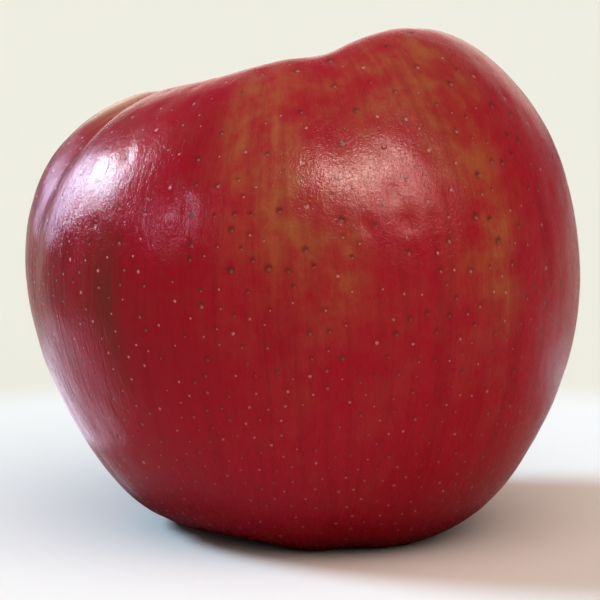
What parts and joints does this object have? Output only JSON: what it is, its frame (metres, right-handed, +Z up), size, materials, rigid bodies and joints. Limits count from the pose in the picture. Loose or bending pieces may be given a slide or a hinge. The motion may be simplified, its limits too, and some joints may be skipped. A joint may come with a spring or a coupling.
{
  "type": "apple",
  "caption": "Whole lobed dessert apple resting on its base, with a short woody stem in its cavity and a dried calyx underneath.",
  "frame": {"origin": "centre of the fruit's outline seen from above, at the height of the surface it rests on", "axes": "+Z up from the base to the stem; -Y is the side that the picture shows; the highest lobe leans towards +X"},
  "size_m": [0.0866, 0.0846, 0.0785],
  "materials": {
    "apple_skin": "waxy crimson skin, mottled orange and tan, with pale dots",
    "stem_bark": "dry brown bark",
    "calyx_husk": "dry dark husk"
  },
  "bodies": {
    "root": {"apple_body": "apple_skin", "stem": "stem_bark", "calyx": "calyx_husk"}
  },
  "joints": []
}
